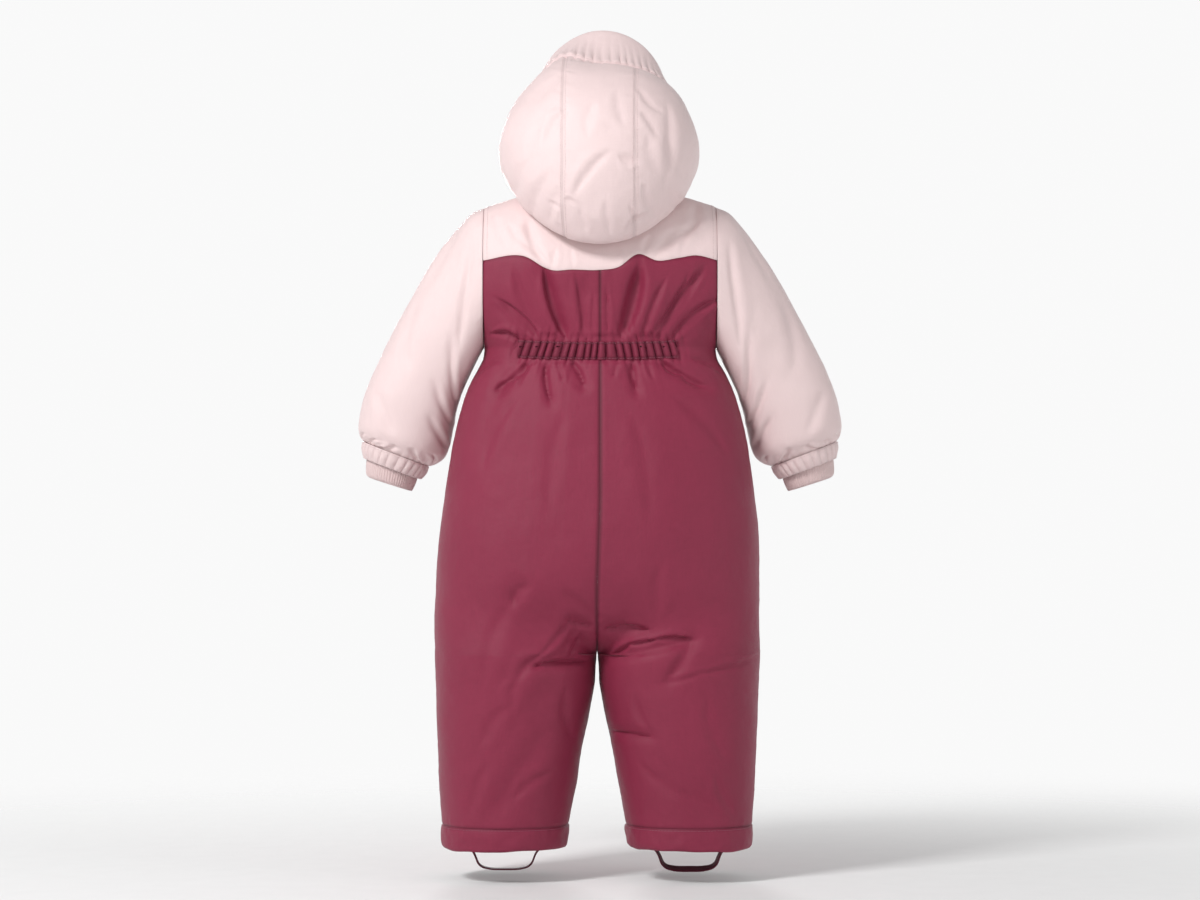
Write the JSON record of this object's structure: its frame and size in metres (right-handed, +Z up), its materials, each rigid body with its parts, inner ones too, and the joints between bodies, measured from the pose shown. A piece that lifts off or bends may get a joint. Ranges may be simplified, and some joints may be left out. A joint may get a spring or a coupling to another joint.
{
  "type": "baby snowsuit",
  "caption": "Hooded one-piece padded suit for a baby, worn hollow shape, open at the face, cuffs and hems, with a front zip, a gathered back waist and foot straps.",
  "frame": {"origin": "between the wearer's shoulders, in the middle of the body's width and depth, at the height of the armholes' tops", "axes": "+X to the wearer's left, -Y to the wearer's front, +Z up"},
  "size_m": [0.512, 0.2179, 0.8866],
  "materials": {
    "burgundy_cloth": "fine woven polyester with a slight sheen",
    "pink_cloth": "smooth woven polyester with a satin sheen",
    "pink_knit": "matt ribbed knit",
    "zip_chain": "woven zip tape with a moulded chain",
    "slider_enamel": "enamelled"
  },
  "bodies": {
    "suit": {"back_left": "burgundy_cloth", "back_right": "burgundy_cloth", "front_left": "burgundy_cloth", "front_right": "burgundy_cloth", "yoke_back": "pink_cloth", "yoke_front_left": "pink_cloth", "yoke_front_right": "pink_cloth", "waist_casing": "burgundy_cloth", "sleeve_left": "pink_cloth", "sleeve_right": "pink_cloth", "sleeve_casing_left": "pink_cloth", "sleeve_casing_right": "pink_cloth", "cuff_left": "pink_knit", "cuff_right": "pink_knit", "hood_centre": "pink_cloth", "hood_left": "pink_cloth", "hood_right": "pink_cloth", "hood_band": "pink_cloth", "zip_tape": "zip_chain", "hem_left": "burgundy_cloth", "hem_right": "burgundy_cloth", "foot_strap_left": "burgundy_cloth", "foot_strap_right": "burgundy_cloth", "zip_slider": "slider_enamel"},
    "pull_tab": {"pull_tab": "slider_enamel"}
  },
  "joints": [
    {"name": "pull_tab_hinge", "type": "hinge", "parent": "suit", "child": "pull_tab", "pos_m": [0, -0.08239, 0.03292], "axis": [-1, 0, 0], "range_deg": [-24, 190]}
  ]
}
